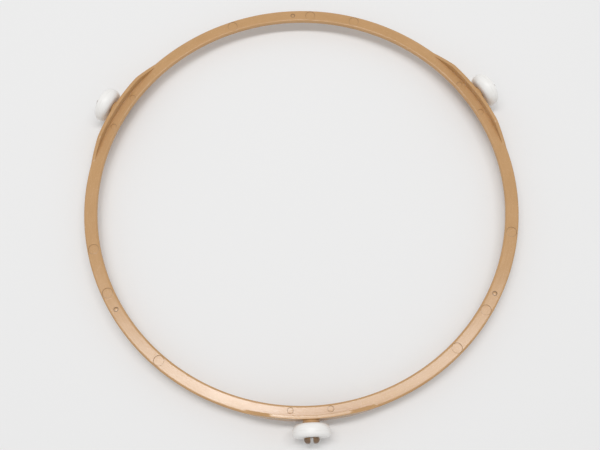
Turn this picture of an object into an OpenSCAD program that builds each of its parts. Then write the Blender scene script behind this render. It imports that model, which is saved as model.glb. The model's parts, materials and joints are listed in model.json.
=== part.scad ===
// Roller ring that carries the glass tray of a microwave oven.
// A thin moulded band with three split axles, and a snapped-on barrel wheel on each.
// The origin is the ring's centre, at mid-thickness of the band, where the three axle lines meet.
// +Z points up and the front wheel lies towards -Y.

/* [Band] */
// Outer diameter of the band
ring_od = 220; // [160:1:300]
// Radial width of the band
band_w = 6.7; // [5.6:0.1:14]
// Thickness of the band
band_t = 2.8; // [2.4:0.1:5]
// Radius of the band's rounded edges
band_round = 1; // [0.2:0.05:1.1]

/* [Raised rim at each wheel] */
// Thickness of the rim's wall
rim_t = 1.7; // [1:0.1:2.5]
// Height of the rim above the band's top face, and its depth below the bottom face
rim_rise = 3.7; // [3:0.1:6]
// Length of the rim's level top, along the ring
rim_level = 38; // [24:1:60]
// Length along the ring over which each end of the rim slopes down to the band
rim_ramp = 11.5; // [6:0.5:20]
// Radius of the bends between the level top and the slopes
rim_bend = 3.5; // [1:0.5:4]

/* [Boss and split axle] */
// Diameter of the boss that the wheel's inner face runs against
boss_d = 8; // [7.4:0.1:9]
// Length of the boss, outwards from the rim
boss_l = 1.4; // [1.2:0.1:5]
// Radius of the hollow fillet between boss and rim
boss_fillet = 0.7; // [0.2:0.1:1.2]
// Diameter of the axle that the wheel turns on
axle_d = 5.8; // [4.4:0.1:6.4]
// Width of the slot that splits the axle into two prongs
slot_w = 1.4; // [0.8:0.1:2]
// How far the slot reaches back from the barb's shoulder
slot_depth = 5; // [3:0.5:6]
// How far the barb stands out past the axle, all round
barb_lip = 0.75; // [0.3:0.05:1]
// Length of the barb, from its shoulder to its tip
barb_l = 2.4; // [1.6:0.1:3]
// Length of the barb's widest, straight part
barb_land = 0.6; // [0.3:0.1:1]
// Bevel at the slot's mouth, which rounds the tips of the prongs
slot_bevel = 0.7; // [0.2:0.1:1.2]

/* [Wheels] */
// Diameter of a wheel at its tread
wheel_d = 18; // [14:0.5:24]
// Width of a wheel
wheel_w = 6.5; // [6:0.1:12]
// Radius of the shoulder towards the band
shoulder_in = 3.4; // [1:0.1:3.8]
// Radius of the shoulder away from the band
shoulder_out = 1.8; // [0.5:0.1:2]
// Radial running gap between a wheel's bore and its axle
running_gap = 0.08; // [0.03:0.01:0.1]
// Gap between a wheel's inner face and the boss
boss_gap = 0.15; // [0.05:0.05:0.4]
// Gap between a wheel's outer face and the barb
barb_gap = 0.25; // [0.1:0.05:0.5]
// Bevel at each mouth of a wheel's bore
mouth_bevel = 0.3; // [0.1:0.05:0.5]

/* [Moulding marks] */
// Depth of the marks in the band's top face
mark_depth = 0.12; // [0.05:0.01:0.3]
// Diameter of the large ejector marks, three about each gate
mark_large_d = 5.2; // [2:0.1:5.4]
// Diameter of the small ejector marks, two at each wheel
mark_small_d = 3; // [1:0.1:3.6]
// Diameter of the gate's dimple, midway between two wheels
gate_d = 2.4; // [1.4:0.1:4]
// Diameter of the gate's cut-off nib
gate_nib_d = 0.9; // [0.4:0.1:1.2]
// Distance along the ring from a gate to its two far marks
mark_far = 33.5; // [20:0.5:50]
// Distance along the ring from a gate to its near mark
mark_near = 9.5; // [6:0.5:15]
// Distance along the ring from an axle to its small marks
mark_wheel = 9.5; // [5:0.5:14]

/* [Hidden] */

tan_plastic = [0.78, 0.62, 0.45];
white_plastic = [0.95, 0.94, 0.92];

// Directions of the three axles, in degrees from +X, a third of a turn apart
third = 120;
front = -90;
right = front + third;
left = front - third;
axles = [front, right, left];

ring_r = ring_od / 2;
inner_r = ring_r - band_w;
band_mid_r = (ring_r + inner_r) / 2;
band_top = band_t / 2;

rim_inner_r = ring_r - rim_t;
rim_top = band_top + rim_rise;
ramp_angle = atan(rim_rise / rim_ramp);
// The slopes run on inside the band to its mid-plane, so that they fade out in its rounded edges
rim_tip = rim_level / 2 + rim_top / tan(ramp_angle);
// Each bend's centre lies this far along the ring from the axle
bend_x = rim_level / 2 - rim_bend * tan(ramp_angle / 2);
bend_steps = 4;

boss_r = boss_d / 2;
fillet_sink = 0.06;
axle_r = axle_d / 2;
barb_r = axle_r + barb_lip;
barb_nose = barb_l - barb_land;
bore_r = axle_r + running_gap;
wheel_r = wheel_d / 2;

// Places along an axle, from the ring's centre outwards
boss_root = ring_r - rim_t / 2;
boss_end = ring_r + boss_l;
wheel_in = boss_end + boss_gap;
wheel_out = wheel_in + wheel_w;
barb_in = wheel_out + barb_gap;
barb_out = barb_in + barb_l;
slot_in = barb_in - slot_depth;
// The rim's round outer face falls back at the edge of the fillet, so the fillet starts a little behind it
fillet_in = sqrt(pow(ring_r, 2) - pow(boss_r + boss_fillet, 2)) - fillet_sink;

// Small marks lie midway between the band's inner edge and the rim
mark_small_r = (inner_r + rim_inner_r) / 2;

// How far a cutting body runs past the face that it cuts
over = 1;
fine = 64;
round_ring = 256;

// Turns what is drawn along +X to a direction in the band's plane
module towards(direction) {
  rotate([0, 0, direction]) children();
}

// Revolves a section about an axle along +X, where section y is the distance from the ring's centre
module about_axle() {
  rotate([0, 90, 0]) rotate_extrude($fn = fine) children();
}

// Half of a round bar's section, between two places along the axle
module bar(from, to, r) {
  translate([0, from]) square([r, to - from]);
}

module band() {
  rotate_extrude($fn = round_ring) {
    translate([inner_r + band_round, -band_top]) square([band_w - 2 * band_round, band_t]);
    translate([inner_r, band_round - band_top]) square([band_w, band_t - 2 * band_round]);
    for (r = [inner_r + band_round, ring_r - band_round], side = [-1, 1])
      translate([r, side * (band_top - band_round)]) circle(r = band_round, $fn = fine);
  }
}

// One bend of the rim, in short steps from the level top to the slope
function bend(from, to) = [
  for (step = [0:bend_steps])
    let (a = from + (to - from) * step / bend_steps)
    [bend_x + rim_bend * cos(a), rim_top - rim_bend + rim_bend * sin(a)]
];

// Points of a side view seen from its other side, or upside down
function mirrored(points, x, y) = [for (p = points) [x * p[0], y * p[1]]];

// Side view of the rim: level in the middle, sloping at both ends, the same above and below
module rim_outline() {
  falling = bend(90, 90 - ramp_angle);
  rising = bend(90 - ramp_angle, 90);
  polygon(concat(
    [[rim_tip, 0]], mirrored(rising, 1, 1), mirrored(falling, -1, 1),
    [[-rim_tip, 0]], mirrored(rising, -1, -1), mirrored(falling, 1, -1)
  ));
}

module rim() {
  intersection() {
    difference() {
      cylinder(r = ring_r, h = 4 * rim_top, center = true, $fn = round_ring);
      cylinder(r = rim_inner_r, h = 4 * rim_top + over, center = true, $fn = round_ring);
    }
    rotate([90, 0, 90]) linear_extrude(height = ring_r + over) rim_outline();
  }
}

// Boss with its hollow fillet, axle and barb, as one revolved bar before it is split
module axle_bar() {
  about_axle() {
    bar(boss_root, fillet_in, boss_r + boss_fillet);
    bar(boss_root, boss_end, boss_r);
    difference() {
      bar(fillet_in, fillet_in + boss_fillet, boss_r + boss_fillet);
      translate([boss_r + boss_fillet, fillet_in + boss_fillet]) circle(r = boss_fillet);
    }
    bar(boss_root, barb_in + barb_land, axle_r);
    bar(barb_in, barb_in + barb_land, barb_r);
    bar(barb_in, barb_out, barb_r - barb_nose);
    intersection() {
      translate([barb_r - barb_nose, barb_in + barb_land]) circle(r = barb_nose);
      bar(barb_in, barb_out, barb_r);
    }
  }
}

// Upright slot along the axle, with a round end inside the wheel and a bevelled mouth
module slot() {
  depth = 2 * (barb_r + over);
  linear_extrude(height = depth, center = true) {
    translate([slot_in, 0]) circle(d = slot_w, $fn = fine);
    translate([slot_in, -slot_w / 2]) square([slot_depth + barb_l + over, slot_w]);
    polygon([
      [barb_out - slot_bevel - slot_w / 2, 0],
      [barb_out + over, slot_w / 2 + slot_bevel + over],
      [barb_out + over, -slot_w / 2 - slot_bevel - over]
    ]);
  }
}

module split_axle() {
  difference() {
    axle_bar();
    slot();
  }
}

// Flat round hollow in the band's top face
module mark(d, r) {
  translate([r, 0, band_top - mark_depth]) cylinder(d = d, h = mark_depth + over, $fn = fine);
}

module gate_mark() {
  difference() {
    mark(gate_d, band_mid_r);
    translate([band_mid_r, 0, band_top - mark_depth - over])
      cylinder(d = gate_nib_d, h = mark_depth / 2 + over, $fn = fine);
  }
}

// Angle that a distance along the ring spans at a radius
function turn(along, r) = along / r * 180 / PI;

module moulding_marks() {
  for (axle = axles) {
    for (side = [-1, 1])
      towards(axle + side * turn(mark_wheel, mark_small_r)) mark(mark_small_d, mark_small_r);
    towards(axle + third / 2) {
      gate_mark();
      for (along = [-mark_far, -mark_near, mark_far])
        towards(turn(along, band_mid_r)) mark(mark_large_d, band_mid_r);
    }
  }
}

module ring() {
  color(tan_plastic) difference() {
    union() {
      band();
      for (axle = axles)
        towards(axle) {
          rim();
          split_axle();
        }
    }
    moulding_marks();
  }
}

// Barrel wheel, with a fuller shoulder towards the band, on the axle line along +X
module wheel() {
  about_axle() difference() {
    union() {
      bar(wheel_in, wheel_out, wheel_r - shoulder_in);
      bar(wheel_in + shoulder_in, wheel_out, wheel_r - shoulder_out);
      bar(wheel_in + shoulder_in, wheel_out - shoulder_out, wheel_r);
      intersection() {
        translate([wheel_r - shoulder_in, wheel_in + shoulder_in]) circle(r = shoulder_in);
        bar(wheel_in, wheel_in + shoulder_in, wheel_r);
      }
      intersection() {
        translate([wheel_r - shoulder_out, wheel_out - shoulder_out]) circle(r = shoulder_out);
        bar(wheel_out - shoulder_out, wheel_out, wheel_r);
      }
    }
    bar(wheel_in - over, wheel_out + over, bore_r);
    for (mouth = [[wheel_in, 1], [wheel_out, -1]])
      polygon([
        [0, mouth[0] + mouth[1] * (bore_r + mouth_bevel)],
        [0, mouth[0] - mouth[1] * over],
        [bore_r + mouth_bevel + over, mouth[0] - mouth[1] * over]
      ]);
  }
}

module wheel_front() {
  color(white_plastic) towards(front) wheel();
}

module wheel_right() {
  color(white_plastic) towards(right) wheel();
}

module wheel_left() {
  color(white_plastic) towards(left) wheel();
}

ring();
wheel_front();
wheel_right();
wheel_left();
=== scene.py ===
# %% [markdown]
# # A roller ring for a microwave oven
#
# The ring lies under the oven's glass tray and lets it turn. It has four pieces: one thin moulding of tan
# plastic, and three white rollers that snap onto its split axles. We load the measured solids as a frame,
# model each piece over its solid with Blender's own tools, and then give both plastics their finish.
#
# The frame is in metres. Its origin is the ring's centre, at mid-thickness of the band, and +Z points up.

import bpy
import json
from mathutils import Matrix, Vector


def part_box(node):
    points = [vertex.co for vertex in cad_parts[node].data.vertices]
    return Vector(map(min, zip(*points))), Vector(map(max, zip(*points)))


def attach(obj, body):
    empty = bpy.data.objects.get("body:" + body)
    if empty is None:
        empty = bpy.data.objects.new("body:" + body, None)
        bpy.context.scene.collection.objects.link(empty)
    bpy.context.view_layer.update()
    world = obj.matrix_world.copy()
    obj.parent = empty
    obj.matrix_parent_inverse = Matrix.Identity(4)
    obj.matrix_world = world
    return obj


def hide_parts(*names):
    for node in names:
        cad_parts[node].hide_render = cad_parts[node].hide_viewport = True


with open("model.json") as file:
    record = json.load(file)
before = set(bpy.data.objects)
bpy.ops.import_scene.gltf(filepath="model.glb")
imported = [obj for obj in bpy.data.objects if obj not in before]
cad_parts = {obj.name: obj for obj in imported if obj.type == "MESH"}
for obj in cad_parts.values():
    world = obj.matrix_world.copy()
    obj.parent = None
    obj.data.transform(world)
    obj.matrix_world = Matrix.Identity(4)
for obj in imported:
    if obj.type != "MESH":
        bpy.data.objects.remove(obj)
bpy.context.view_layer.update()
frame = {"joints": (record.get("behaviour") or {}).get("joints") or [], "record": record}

# %% [markdown]
# ## Sizes
#
# A piece that stands for a solid has to be as large as the solid, so we read the large sizes from the frame
# and write down only the small ones. The joints give the three directions in which an axle leaves the ring.

# %% Sizes from the frame
import json
import math

import bmesh
import bpy
from mathutils import Matrix, Vector

MM = 0.001
ring_low, ring_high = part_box("ring")
wheel_low, wheel_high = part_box("wheel_front")
mounts = {mount["name"]: mount for mount in frame["record"]["mounts"]}

ring_r = ring_high.y
inner_r = mounts["centre_opening"]["dims"]["r_mm"] * MM
band_mid_r = (ring_r + inner_r) / 2
wheel_r = mounts["tray_track"]["pos_m"][2]
axle_directions = {
    joint["child"]: math.atan2(joint["axis"][1], joint["axis"][0])
    for joint in frame["joints"]
}
for wheel, direction in axle_directions.items():
    print(wheel, "lies at", round(math.degrees(direction)), "degrees")
print("ring radius", ring_r, "inner radius", inner_r, "wheel radius", wheel_r)

# %% [markdown]
# ## The floor
#
# The ring stands on its three rollers, so the floor lies one wheel radius below the axles. It is a pale
# disc that keeps the shadow. Away from the ring it fades into the colour of the background, which leaves no
# horizon.

# %% A pale disc under the rollers
PALE = 0.86


def only(obj):
    """Selects one object and nothing else."""
    bpy.ops.object.select_all(action="DESELECT")
    obj.select_set(True)
    bpy.context.view_layer.objects.active = obj


bpy.ops.object.select_all(action="DESELECT")
floor_radius = 3.0
bpy.ops.mesh.primitive_circle_add(
    vertices=96, radius=floor_radius, fill_type="NGON", location=(0, 0, -wheel_r)
)
floor = bpy.context.object
floor.name = "floor"
bpy.ops.object.transform_apply(location=True)
print("floor at", -wheel_r)

# %% [markdown]
# ## The band
#
# The band is a flat ring with rounded edges, moulded between two halves of a tool that meet at
# mid-thickness. Where they meet, a hair-thin ridge is left along both edges. The section is the same all
# the way round, so we draw it once, as a plane with bevelled corners, and spin that outline about the
# ring's centre.

# %% Section of the band, spun into a ring
SMALL = 1e-7

band_t = 2.8 * MM
band_round = 1.0 * MM
seam_out = 0.035 * MM
seam_half = 0.07 * MM
flush_gap = 0.01 * MM
round_steps = 360
corner_steps = 6


def select(kind, test):
    """In edit mode, selects the verts, edges or faces of the active piece that pass a test."""
    mode = {"verts": "VERT", "edges": "EDGE", "faces": "FACE"}[kind]
    bpy.ops.mesh.select_mode(type=mode)
    bpy.ops.mesh.select_all(action="DESELECT")
    mesh = bmesh.from_edit_mesh(bpy.context.object.data)
    chosen = [part for part in getattr(mesh, kind) if test(part)]
    for part in chosen:
        part.select_set(True)
    mesh.select_flush_mode()
    bmesh.update_edit_mesh(bpy.context.object.data)
    return len(chosen)


def section(name, low, high):
    """A rectangle in the XZ plane, between two corners (x, z), left in edit mode."""
    bpy.ops.object.select_all(action="DESELECT")
    middle = ((low[0] + high[0]) / 2, 0, (low[1] + high[1]) / 2)
    bpy.ops.mesh.primitive_plane_add(size=1, location=middle, rotation=(math.pi / 2, 0, 0))
    made = bpy.context.object
    made.name = name
    made.scale = (high[0] - low[0], high[1] - low[1], 1)
    bpy.ops.object.transform_apply(location=True, rotation=True, scale=True)
    bpy.ops.object.mode_set(mode="EDIT")
    return made


def keep_outline():
    """Deletes the section's face and keeps its edges, in edit mode."""
    bpy.ops.mesh.select_all(action="SELECT")
    bpy.ops.mesh.delete(type="ONLY_FACE")


def spin_outline(angle, steps):
    """Spins the section's outline about Z. A positive angle turns clockwise, seen from above."""
    bpy.ops.mesh.select_all(action="SELECT")
    bpy.ops.mesh.spin(steps=steps, angle=angle, center=(0, 0, 0), axis=(0, 0, 1))


def close_up():
    """Merges doubled vertices, turns every face outwards and leaves edit mode."""
    bpy.ops.mesh.select_all(action="SELECT")
    bpy.ops.mesh.remove_doubles(threshold=MM / 1000)
    bpy.ops.mesh.normals_make_consistent(inside=False)
    bpy.ops.object.mode_set(mode="OBJECT")


wall_in = inner_r + seam_out
wall_out = ring_r - seam_out - flush_gap
band = section("ring_moulding", (wall_in, -band_t / 2), (wall_out, band_t / 2))
bpy.ops.mesh.select_all(action="SELECT")
bpy.ops.mesh.bevel(offset=band_round, segments=corner_steps, affect="VERTICES")
keep_outline()
select("edges", lambda edge: all(abs(v.co.z) < band_t / 2 - band_round + SMALL for v in edge.verts))
bpy.ops.mesh.subdivide(number_cuts=3)
select("verts", lambda v: abs(v.co.z) < band_t / 2 - band_round - SMALL)
bpy.ops.transform.resize(
    value=(1, 1, seam_half / ((band_t / 2 - band_round) / 2)), center_override=(band_mid_r, 0, 0)
)
select("verts", lambda v: abs(v.co.z) < SMALL)
bpy.ops.transform.resize(
    value=((band_mid_r - inner_r) / (band_mid_r - wall_in), 1, 1), center_override=(band_mid_r, 0, 0)
)
spin_outline(2 * math.pi, round_steps)
close_up()
print("band:", len(band.data.polygons), "faces")

# %% [markdown]
# ## The raised rims
#
# At each axle the band's outer edge becomes a wall, above and below, that gives the axle a stiff root. Its
# level top slopes down to the band at both ends. We spin a narrow upright section over a short arc and
# bisect it with four planes. Two small bevels then bend the top into the slopes and take the sharpness off
# the long edges. The wall is modelled once, on the +X axis, and copied later.

# %% One rim on the +X axis
rim_t = 1.7 * MM
rim_rise = 3.7 * MM
rim_level = 38 * MM
rim_ramp = 11.5 * MM
rim_bend = 3.5 * MM
rim_soft = 0.2 * MM
rim_top = ring_high.z
ramp_angle = math.atan(rim_rise / rim_ramp)
half_arc = math.radians(18.1)
rim_steps = 30

rim = section("rim", (ring_r - rim_t, -rim_top), (ring_r, rim_top))
bpy.ops.object.mode_set(mode="OBJECT")
rim.rotation_euler.z = half_arc
bpy.ops.object.transform_apply(rotation=True)
bpy.ops.object.mode_set(mode="EDIT")
keep_outline()
spin_outline(2 * half_arc, rim_steps)
bpy.ops.mesh.select_all(action="SELECT")
bpy.ops.mesh.fill_holes(sides=4)
for end in (-1, 1):
    for side in (-1, 1):
        bpy.ops.mesh.select_all(action="SELECT")
        bpy.ops.mesh.bisect(
            plane_co=(0, end * rim_level / 2, side * rim_top),
            plane_no=(0, end * math.sin(ramp_angle), side * math.cos(ramp_angle)),
            use_fill=True, clear_outer=True, threshold=SMALL,
        )


def is_bend(edge):
    """True for the four edges across the wall where the level top meets a slope."""
    return all(
        abs(abs(v.co.y) - rim_level / 2) < 10 * SMALL and abs(abs(v.co.z) - rim_top) < 10 * SMALL
        for v in edge.verts
    )


def is_long_edge(edge):
    """True where the top or a slope, above or below, meets the inner or outer side of the wall."""
    normals = [face.normal for face in edge.link_faces]
    flat = [n for n in normals if abs(n.z) > 0.5]
    upright = [n for n in normals if abs(n.z) < 0.3 and abs(n.y) < 0.6]
    return len(flat) == 1 and len(upright) == 1


print("bends:", select("edges", is_bend))
bpy.ops.mesh.bevel(offset=rim_bend * math.tan(ramp_angle / 2), segments=4, affect="EDGES")
print("long edges:", select("edges", is_long_edge))
bpy.ops.mesh.bevel(offset=rim_soft, segments=3, affect="EDGES")
close_up()

# %% [markdown]
# ## The split axle
#
# A stub stands out of each rim's middle: a boss that the roller runs against, the axle proper, and a barb
# that keeps the roller on. A slot splits axle and barb into two prongs, which spring together when the
# roller is pressed on. We draw the bar out step by step from one cylinder with inset and extrude, round its
# loops with bevels, and cut the slot with a Boolean.

# %% Boss, axle and barb
boss_r = 4.0 * MM
boss_l = 1.4 * MM
boss_fillet = 0.7 * MM
axle_r = 2.9 * MM
barb_lip = 0.75 * MM
barb_l = 2.4 * MM
barb_land = 0.6 * MM
barb_gap = 0.25 * MM
bar_sides = 64

boss_root = ring_r - rim_t / 2
flare_r = boss_r + boss_fillet
flare_x = math.sqrt(ring_r**2 - flare_r**2) - 0.06 * MM
boss_end = ring_r + boss_l
barb_in = -wheel_low.y + barb_gap
barb_out = barb_in + barb_l
barb_r = axle_r + barb_lip


def bar_along_x(name, radius, start, end, sides):
    """A round bar on the X axis, left in edit mode."""
    bpy.ops.object.select_all(action="DESELECT")
    bpy.ops.mesh.primitive_cylinder_add(
        vertices=sides, radius=radius, depth=end - start,
        location=((start + end) / 2, 0, 0), rotation=(0, math.pi / 2, 0),
    )
    made = bpy.context.object
    made.name = name
    bpy.ops.object.transform_apply(location=True, rotation=True)
    bpy.ops.object.mode_set(mode="EDIT")
    select("faces", lambda face: face.normal.x > 0.9)
    return made


def inset_round(gap, sides):
    """Insets a round face so that its corners, and not its sides, move in by the gap."""
    bpy.ops.mesh.inset(thickness=gap * math.cos(math.pi / sides))


def draw_out(length):
    bpy.ops.mesh.extrude_region_move(TRANSFORM_OT_translate={"value": (length, 0, 0)})


def widen(x, share):
    bpy.ops.transform.resize(value=(1, share, share), center_override=(x, 0, 0))


def round_loop(x, radius, offset, segments):
    """Rounds the loop of edges at one place along the bar and one radius."""
    def on_loop(edge):
        return all(
            abs(v.co.x - x) < 10 * SMALL and abs(math.hypot(v.co.y, v.co.z) - radius) < 10 * SMALL
            for v in edge.verts
        )
    print("loop at", round(x / MM, 2), "mm:", select("edges", on_loop), "edges")
    bpy.ops.mesh.bevel(offset=offset, segments=segments, affect="EDGES")


axle = bar_along_x("axle", flare_r + 0.05 * MM, boss_root, flare_x, bar_sides)
inset_round(flare_r + 0.05 * MM - boss_r, bar_sides)
draw_out(boss_end - flare_x)
inset_round(boss_r - axle_r, bar_sides)
draw_out(barb_in - boss_end)
draw_out(0)
widen(barb_in, barb_r / axle_r)
draw_out(barb_l)
round_loop(flare_x, boss_r, boss_fillet, 5)
round_loop(barb_out, barb_r, barb_l - barb_land, 8)
round_loop(boss_end, boss_r, 0.15 * MM, 2)
round_loop(barb_in, barb_r, 0.1 * MM, 2)
close_up()

# %% The slot
slot_w = 1.4 * MM
slot_depth = 5.0 * MM
slot_bevel = 0.7 * MM
over = 1.0 * MM


def combine(piece, other, operation):
    """Applies a Boolean of two closed pieces to the first and deletes the second."""
    only(piece)
    made = piece.modifiers.new("combine", "BOOLEAN")
    made.operation = operation
    made.solver = "EXACT"
    made.object = other
    bpy.ops.object.modifier_apply(modifier=made.name)
    bpy.data.objects.remove(other)


slot_in = barb_in - slot_depth - slot_w / 2
slot_out = barb_out - slot_bevel
bpy.ops.object.select_all(action="DESELECT")
bpy.ops.mesh.primitive_cube_add(size=1, location=((slot_in + slot_out) / 2, 0, 0))
slot = bpy.context.object
slot.name = "slot"
slot.scale = (slot_out - slot_in, slot_w, 2 * (barb_r + over))
bpy.ops.object.transform_apply(location=True, scale=True)
bpy.ops.object.mode_set(mode="EDIT")
select("edges", lambda edge: all(v.co.x < slot_in + SMALL for v in edge.verts)
       and abs(edge.verts[0].co.z - edge.verts[1].co.z) > over)
bpy.ops.mesh.bevel(offset=0.499 * slot_w, segments=8, affect="EDGES")
select("faces", lambda face: face.normal.x > 0.9)
draw_out(slot_bevel + over)
bpy.ops.transform.resize(value=(1, 1 + (slot_bevel + over) / (slot_w / 2), 1))
close_up()
combine(axle, slot, "DIFFERENCE")
print("axle:", len(axle.data.polygons), "faces")

# %% [markdown]
# ## One moulding
#
# Rim and axle become one corner. Three copies of it, each turned to its own direction, are joined to the
# band by Booleans. The ring is then one closed skin, as the real moulding is.

# %% Three corners on the band
combine(rim, axle, "UNION")
for wheel, direction in axle_directions.items():
    corner = rim.copy()
    corner.data = rim.data.copy()
    bpy.context.scene.collection.objects.link(corner)
    only(corner)
    corner.rotation_euler.z = direction
    bpy.ops.object.transform_apply(rotation=True)
    combine(band, corner, "UNION")
bpy.data.objects.remove(rim)
print("ring:", len(band.data.polygons), "faces")

# %% [markdown]
# ## Moulding marks
#
# The pins that pushed the ring out of its mould left shallow round marks in its top face, each with a fine
# line round it: two beside each axle and three about each gate. A gate is where the plastic flowed in. It
# is a dimple with the stub of the cut-off sprue. One short cylinder, with its lower face inset and raised,
# cuts each mark.

# %% Shallow round marks, cut in one Boolean
mark_depth = 0.12 * MM
mark_line_w = 0.28 * MM
mark_line_depth = 0.12 * MM
mark_large_d = 5.2 * MM
mark_small_d = 3.0 * MM
gate_d = 2.4 * MM
gate_nib_d = 0.9 * MM
mark_far = 33.5 * MM
mark_near = 9.5 * MM
mark_wheel = 9.5 * MM
mark_small_r = (inner_r + ring_r - rim_t) / 2


def mark_cutter(diameter, r, direction, floor_w=mark_line_w, rise=mark_line_depth):
    """A cylinder for one mark. Its floor is raised inside a border, which leaves a fine groove."""
    bottom = band_t / 2 - mark_depth - rise
    bpy.ops.object.select_all(action="DESELECT")
    bpy.ops.mesh.primitive_cylinder_add(
        vertices=32, radius=diameter / 2, depth=over,
        location=(r * math.cos(direction), r * math.sin(direction), bottom + over / 2),
    )
    bpy.ops.object.transform_apply(location=True)
    bpy.ops.object.mode_set(mode="EDIT")
    select("faces", lambda face: face.normal.z < -0.9)
    bpy.ops.mesh.inset(thickness=floor_w)
    bpy.ops.transform.translate(value=(0, 0, rise))
    bpy.ops.object.mode_set(mode="OBJECT")
    return bpy.context.object


cutters = []
for direction in axle_directions.values():
    for side in (-1, 1):
        turn = side * mark_wheel / mark_small_r
        cutters.append(mark_cutter(mark_small_d, mark_small_r, direction + turn))
    gate = direction + math.pi / len(axle_directions)
    cutters.append(mark_cutter(gate_d, band_mid_r, gate, (gate_d - gate_nib_d) / 2))
    for along in (-mark_far, -mark_near, mark_far):
        cutters.append(mark_cutter(mark_large_d, band_mid_r, gate + along / band_mid_r))

bpy.ops.object.select_all(action="DESELECT")
for cutter in cutters:
    cutter.select_set(True)
bpy.ops.object.join()
combine(band, bpy.context.object, "DIFFERENCE")
print("marks:", len(cutters))

# %% [markdown]
# ## Smooth faces, crisp edges
#
# Faces that meet at less than a third of a right angle shade as one surface. Weighting the normals by face
# size keeps the flat top flat right up to its rounded edges.

# %% Shading the ring
def shade(piece):
    """Smooth faces, with the sharp edges kept."""
    only(piece)
    bpy.ops.object.shade_smooth_by_angle(angle=math.radians(30))
    weights = piece.modifiers.new("weights", "WEIGHTED_NORMAL")
    weights.keep_sharp = True
    bpy.ops.object.modifier_apply(modifier=weights.name)


shade(band)
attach(band, "ring")
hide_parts("ring")

# %% [markdown]
# ## The rollers
#
# Each roller is a small barrel of hard white plastic with a plain bore, rounder towards the band. It is a
# turned shape: a cylinder whose two ends are inset to the bore and bridged through, with its tread rounded
# by one wide bevel and one narrow bevel. It is modelled once, and each copy gets its own mesh.

# %% One roller on the +X axis, and three copies
shoulder_in = 3.4 * MM
shoulder_out = 1.8 * MM
mouth_bevel = 0.3 * MM
bore_r = axle_r + 0.08 * MM
wheel_sides = 96
wheel_in = -wheel_high.y
wheel_out = -wheel_low.y

roller = bar_along_x("roller", wheel_r, wheel_in, wheel_out, wheel_sides)
select("faces", lambda face: abs(face.normal.x) > 0.9)
inset_round(wheel_r - bore_r, wheel_sides)
bpy.ops.mesh.bridge_edge_loops()
round_loop(wheel_in, wheel_r, shoulder_in, 12)
round_loop(wheel_out, wheel_r, shoulder_out, 8)
round_loop(wheel_in, bore_r, mouth_bevel, 3)
round_loop(wheel_out, bore_r, mouth_bevel, 3)
close_up()

rollers = {}
for wheel, direction in axle_directions.items():
    copy = roller.copy()
    copy.data = roller.data.copy()
    copy.name = wheel.replace("wheel", "roller")
    bpy.context.scene.collection.objects.link(copy)
    only(copy)
    copy.rotation_euler.z = direction
    bpy.ops.object.transform_apply(rotation=True)
    rollers[wheel] = copy
bpy.data.objects.remove(roller)
print("rollers:", sorted(piece.name for piece in rollers.values()))

for wheel, piece in rollers.items():
    shade(piece)
    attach(piece, wheel)
    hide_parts(wheel)

# %% [markdown]
# ## Shader maths
#
# A finish is mostly arithmetic on positions and noise. A small class wraps a socket, so that `1 - mask` or
# `streaks * 0.2 + 0.3` adds the Math nodes for us. Every other node comes from one method, which takes the
# node's type, its settings and the values or links of its sockets.

# %% A socket that can be added and multiplied
class Signal:
    """One number that varies over a surface: an output socket and the paint it belongs to."""

    def __init__(self, paint, socket):
        self.paint = paint
        self.socket = socket

    def math(self, operation, first, second=0.0):
        made = self.paint.node("Math", {"operation": operation}, {0: first, 1: second})
        return Signal(self.paint, made.outputs[0])

    def __add__(self, other):
        return self.math("ADD", self, other)

    def __sub__(self, other):
        return self.math("SUBTRACT", self, other)

    def __rsub__(self, other):
        return self.math("SUBTRACT", other, self)

    def __mul__(self, other):
        return self.math("MULTIPLY", self, other)

    def __truediv__(self, other):
        return self.math("DIVIDE", self, other)

    def __abs__(self):
        return self.math("ABSOLUTE", self)

    def __pow__(self, other):
        return self.math("POWER", self, other)

    def at_most(self, other):
        return self.math("MINIMUM", self, other)

    __radd__ = __add__
    __rmul__ = __mul__


class Paint:
    """The nodes of a material or a world, emptied, and one way to add any node to them."""

    def __init__(self, owner, output="OutputMaterial"):
        owner.use_nodes = True
        self.owner = owner
        self.tree = owner.node_tree
        self.tree.nodes.clear()
        self.output = self.node(output)

    def node(self, kind, settings=None, inputs=None):
        made = self.tree.nodes.new("ShaderNode" + kind)
        for name, value in (settings or {}).items():
            setattr(made, name, value)
        for name, value in (inputs or {}).items():
            self.feed(made.inputs[name], value)
        return made

    def feed(self, socket, value):
        if isinstance(value, Signal):
            self.tree.links.new(value.socket, socket)
        elif isinstance(value, bpy.types.NodeSocket):
            self.tree.links.new(value, socket)
        else:
            socket.default_value = value

    def signal(self, socket):
        return Signal(self, socket)

    def noise(self, where, scale, detail=2.0, roughness=0.5):
        """Soft noise from 0 to 1 about a middle of 0.5."""
        made = self.node(
            "TexNoise",
            {"normalize": True},
            {"Vector": where, "Scale": scale, "Detail": detail, "Roughness": roughness},
        )
        return self.signal(made.outputs[0])

    def band(self, value, low, high):
        """0 below low, 1 above high, and smooth in between."""
        made = self.node(
            "MapRange",
            {"interpolation_type": "SMOOTHSTEP"},
            {"Value": value, "From Min": low, "From Max": high},
        )
        return self.signal(made.outputs[0])

    def mix(self, factor, first, second):
        """One colour turning into another as the factor goes from 0 to 1."""
        made = self.node("Mix", {"data_type": "RGBA"}, {"Factor": factor})
        self.feed(made.inputs[6], first)
        self.feed(made.inputs[7], second)
        return made.outputs[2]

    def finish(self, shader):
        self.feed(self.output.inputs["Surface"], shader.outputs[0])
        print("finish", self.owner.name, "has", len(self.tree.nodes), "nodes")
        return self.owner


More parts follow.
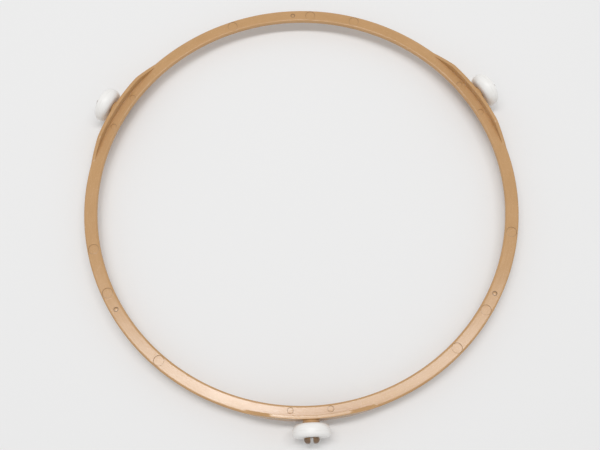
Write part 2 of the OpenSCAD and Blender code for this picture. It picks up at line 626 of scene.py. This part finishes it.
def colour(red, green, blue):
    """A colour as the eye sees it on a screen, 0 to 255, in the linear numbers that a shader uses."""
    def linear(level):
        share = level / 255
        return share / 12.92 if share <= 0.04045 else ((share + 0.055) / 1.055) ** 2.4
    return (linear(red), linear(green), linear(blue), 1.0)


# %% [markdown]
# ## Floor and background
#
# The floor is plain matt paint near the ring. Seen by the camera, by a reflection or through glass, its far
# part gives off the background's own colour instead, so that no lamp has to be brightened for a white
# background.

# %% Floor finish
def is_seen(paint):
    """1 for rays that show the background itself: from the camera, a reflection or a refraction."""
    path = paint.node("LightPath")
    direct = paint.signal(path.outputs["Is Camera Ray"])
    glossy = paint.signal(path.outputs["Is Glossy Ray"])
    through = paint.signal(path.outputs["Is Transmission Ray"])
    return (direct + glossy + through).at_most(1.0)


def floor_finish():
    paint = Paint(bpy.data.materials.new("floor_paint"))
    where = paint.node("TexCoord").outputs["Object"]
    distance = paint.node("VectorMath", {"operation": "LENGTH"}, {0: where}).outputs["Value"]
    far = paint.band(paint.signal(distance), 0.25, 0.9)
    matt = paint.node("BsdfDiffuse", inputs={"Color": (PALE, PALE, PALE, 1)})
    glow = paint.node("Emission", inputs={"Color": (PALE, PALE, PALE, 1), "Strength": 1.0})
    mixed = paint.node(
        "MixShader", inputs={0: far * is_seen(paint), 1: matt.outputs[0], 2: glow.outputs[0]}
    )
    return paint.finish(mixed)


floor.data.materials.append(floor_finish())

# %% [markdown]
# ## Light
#
# The photograph was lit from right above by a long ceiling lamp: the shadow lies straight below the ring
# and is soft along the lamp. A smaller, brighter panel stands a little to the left, and its reflection is
# the pale stretch on the near left of the band. An even sky fills the shadows. All of them together light
# the floor at the level at which a colour comes out as it is written.

# %% Two panels and an even sky
def panel(name, place, size, brightness):
    """A lamp that shines straight down. Its surface has the brightness, where 1 is white."""
    bpy.ops.object.light_add(type="AREA", location=place)
    made = bpy.context.object
    made.name = name
    made.data.shape = "RECTANGLE"
    made.data.size, made.data.size_y = size
    made.data.energy = math.pi * brightness * size[0] * size[1]
    return made


panel("ceiling_lamp", (0, 0.11, 1.2), (1.2, 0.16), 9.5)
panel("left_panel", (-0.11, 0.06, 1.15), (0.21, 0.10), 15.0)

SKY_LIGHT = 0.57
world = bpy.data.worlds.new("even_sky")
bpy.context.scene.world = world
sky = Paint(world, "OutputWorld")
fill = sky.node("Background", inputs={"Color": (1, 1, 1, 1), "Strength": SKY_LIGHT})
seen = sky.node("Background", inputs={"Color": (PALE, PALE, PALE, 1), "Strength": 1.0})
sky.finish(sky.node("MixShader", inputs={0: is_seen(sky), 1: fill.outputs[0], 2: seen.outputs[0]}))

# %% [markdown]
# ## Camera
#
# The camera stands where the photograph was taken: in front of the ring and high above it, nearly half a
# metre away. The ring's outline in the picture gives the distance, the angle and the lens.

# %% The photograph's viewpoint
picture_width_px = 600
focal_px = 868.9
sensor_w = 36.0
camera_distance = 0.43727
camera_elevation = math.radians(71.378)
camera_turn = math.radians(1.42)
camera_roll = math.radians(-1.035)
aim_point = Vector((-0.00079, -0.01352, 0))

back = Vector((0, -math.cos(camera_elevation), math.sin(camera_elevation)))
around = Matrix.Rotation(-camera_turn, 4, "Z")
tilt = back.to_track_quat("Z", "Y").to_matrix().to_4x4()
camera_data = bpy.data.cameras.new("camera")
camera_data.sensor_width = sensor_w
camera_data.lens = focal_px / picture_width_px * sensor_w
camera = bpy.data.objects.new("camera", camera_data)
bpy.context.scene.collection.objects.link(camera)
place = Matrix.Translation(aim_point + back * camera_distance)
camera.matrix_world = around @ place @ tilt @ Matrix.Rotation(camera_roll, 4, "Z")
camera_data.clip_start = 0.01
bpy.context.scene.camera = camera
print("camera at", camera.matrix_world.translation, "lens", camera_data.lens)

# %% [markdown]
# ## The tan plastic
#
# The ring is moulded from a hard, glass-filled plastic. Its gloss is soft, and looked at closely it is
# drawn out in fine streaks and short pale fibres along the way that the plastic flowed, round the ring. So
# the pattern is noise that is stretched along the ring. A direction from the centre, as a unit vector,
# closes without a seam, which an angle would not. Handling has left a few hairlines. Painted shade
# darkens the lines round the moulding marks and the open ends of the axles.

# %% Tan finish
def along_ring(paint, where, stretch):
    """Coordinates that run slowly along the ring and fast across its section."""
    x, y, z = (paint.signal(part) for part in paint.node("SeparateXYZ", inputs={0: where}).outputs)
    radius = (x * x + y * y) ** 0.5
    across = (radius + z) * stretch
    parts = {0: x / radius * band_mid_r, 1: y / radius * band_mid_r, 2: across}
    return paint.node("CombineXYZ", inputs=parts).outputs[0]


def hairlines(paint, where, scale, width):
    """Thin curved lines, broken up, from where a soft noise crosses its middle."""
    line = 1 - paint.band(abs(paint.noise(where, scale, detail=1.0) - 0.5), 0.0, width)
    return line * paint.band(paint.noise(where, scale * 2.3, detail=0.0), 0.55, 0.65)


def between(paint, value, low, high, soft):
    """1 from low to high, and 0 a soft step outside them."""
    return paint.band(value, low - soft, low) * (1 - paint.band(value, high, high + soft))


def tan_plastic():
    paint = Paint(bpy.data.materials.new("tan_finish"))
    where = paint.node("TexCoord").outputs["Object"]
    streaks = paint.noise(along_ring(paint, where, 14.0), 150.0, detail=3.0)
    fibres = paint.band(paint.noise(along_ring(paint, where, 6.0), 900.0, detail=1.0), 0.6, 0.74)
    clouds = paint.noise(where, 60.0, detail=3.0)
    grain = paint.noise(where, 4000.0, detail=1.0)
    scratches = hairlines(paint, where, 90.0, 0.004)

    shade_level = (streaks * 0.55 + clouds * 0.45 - 0.5) * 1.6 + 0.5
    flow_colour = paint.mix(shade_level, colour(182, 139, 88), colour(199, 156, 108))
    fibre_colour = paint.mix(fibres * 0.35, flow_colour, colour(222, 188, 150))
    scratched_colour = paint.mix(scratches * 0.3, fibre_colour, colour(214, 182, 146))

    x, y, z = (paint.signal(part) for part in paint.node("SeparateXYZ", inputs={0: where}).outputs)
    radius = (x * x + y * y) ** 0.5
    groove_floor = band_t / 2 - mark_depth - mark_line_depth
    # Painted shade: the fine line round each moulding mark is darkened.
    groove = between(paint, radius, inner_r + 0.7 * MM, ring_r - 0.7 * MM, 0.1 * MM) * between(
        paint, z, groove_floor, groove_floor + 0.03 * MM, 0.05 * MM
    )
    # Painted shade: the open ends of the axles, out past the rollers, are darkened as well.
    tips = paint.band(radius, barb_in, barb_in + 0.5 * MM)
    # Both painted shades are mixed towards a dark brown, and make the surface a little rougher.
    painted_shade = groove * 0.75 + tips * (0.6 + clouds * 0.5)
    surface_colour = paint.mix(painted_shade, scratched_colour, colour(84, 66, 54))

    height = streaks * 0.5 + grain * 0.2 + fibres * 0.15 - scratches * 0.5
    bump = paint.node("Bump", inputs={"Strength": 0.5, "Distance": 0.03 * MM, "Height": height})
    shader = paint.node("BsdfPrincipled", inputs={
        "Base Color": surface_colour,
        "Roughness": 0.12 + clouds * 0.1 + streaks * 0.06 + scratches * 0.2 + painted_shade * 0.3,
        "Normal": bump.outputs[0],
        "IOR": 1.52,
    })
    return paint.finish(shader)


band.data.materials.clear()
band.data.materials.append(tan_plastic())

# %% [markdown]
# ## The white plastic
#
# The rollers are a harder, waxier white plastic. Rolling leaves faint grey tracks round the tread, and a
# little dust settles where a roller meets its boss and in its bore. The tracks follow the roller's own
# axle, so a Mapping node first turns each roller's coordinates until the axle lies along X.

# %% White finish
def white_plastic(name, direction):
    paint = Paint(bpy.data.materials.new(name))
    where = paint.node("TexCoord").outputs["Object"]
    turned = paint.node("Mapping", inputs={"Vector": where, "Rotation": (0, 0, -direction)}).outputs[0]
    x, y, z = (paint.signal(part) for part in paint.node("SeparateXYZ", inputs={0: turned}).outputs)
    radius = (y * y + z * z) ** 0.5
    around = paint.node(
        "CombineXYZ", inputs={0: x * 8.0, 1: y / radius * wheel_r / 3, 2: z / radius * wheel_r / 3}
    ).outputs[0]
    tracks = paint.band(paint.noise(around, 400.0, detail=3.0), 0.5, 0.72)
    tread = paint.band(radius, wheel_r - 0.9 * MM, wheel_r - 0.1 * MM)
    dust = 1 - paint.band(radius, bore_r, bore_r + 1.6 * MM)
    clouds = paint.noise(where, 250.0, detail=2.0)
    grain = paint.noise(where, 5000.0, detail=1.0)

    worn = tracks * tread
    clean_colour = paint.mix(clouds, (0.87, 0.855, 0.83, 1), (0.92, 0.91, 0.89, 1))
    track_colour = paint.mix(worn * 0.14, clean_colour, colour(178, 172, 164))
    surface_colour = paint.mix(dust * clouds * 0.7, track_colour, colour(150, 134, 116))

    height = grain * 0.25 + tracks * tread * 0.3 + clouds * 0.3
    bump = paint.node("Bump", inputs={"Strength": 0.4, "Distance": 0.02 * MM, "Height": height})
    shader = paint.node("BsdfPrincipled", inputs={
        "Base Color": surface_colour,
        "Roughness": 0.3 + clouds * 0.12 + worn * 0.2,
        "Normal": bump.outputs[0],
        "IOR": 1.48,
    })
    return paint.finish(shader)


for wheel, piece in rollers.items():
    piece.data.materials.clear()
    piece.data.materials.append(white_plastic(piece.name + "_white", axle_directions[wheel]))

# %% [markdown]
# ## Last settings
#
# The colours are shown without a film look.

# %% Colour settings
bpy.context.scene.view_settings.view_transform = "Standard"
